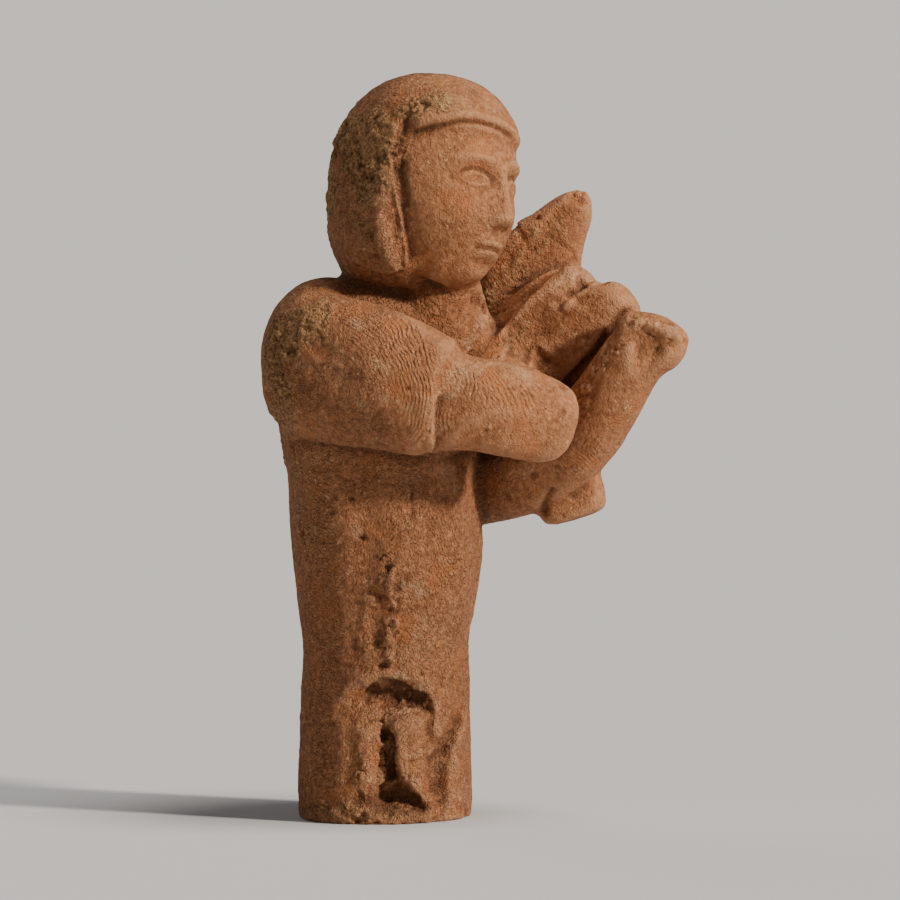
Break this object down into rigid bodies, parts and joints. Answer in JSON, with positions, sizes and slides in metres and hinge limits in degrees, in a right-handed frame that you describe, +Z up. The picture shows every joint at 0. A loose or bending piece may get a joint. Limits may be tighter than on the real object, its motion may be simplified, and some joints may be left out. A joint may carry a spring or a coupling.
{
  "type": "terracotta lyre player figure",
  "caption": "Small solid terracotta figure of a standing lyre player, hand modelled in one piece on a flat column-like foot.",
  "frame": {"origin": "centre of the flat underside of the foot", "axes": "+Z up through the figure, -Y the way its body faces, +X towards its left hand"},
  "size_m": [0.0392, 0.0453, 0.0879],
  "materials": {
    "terracotta": "unglazed, dull, finger-ridged, with pale lime flecks and crust"
  },
  "bodies": {
    "root": {"lyre_player": "terracotta"}
  },
  "joints": []
}
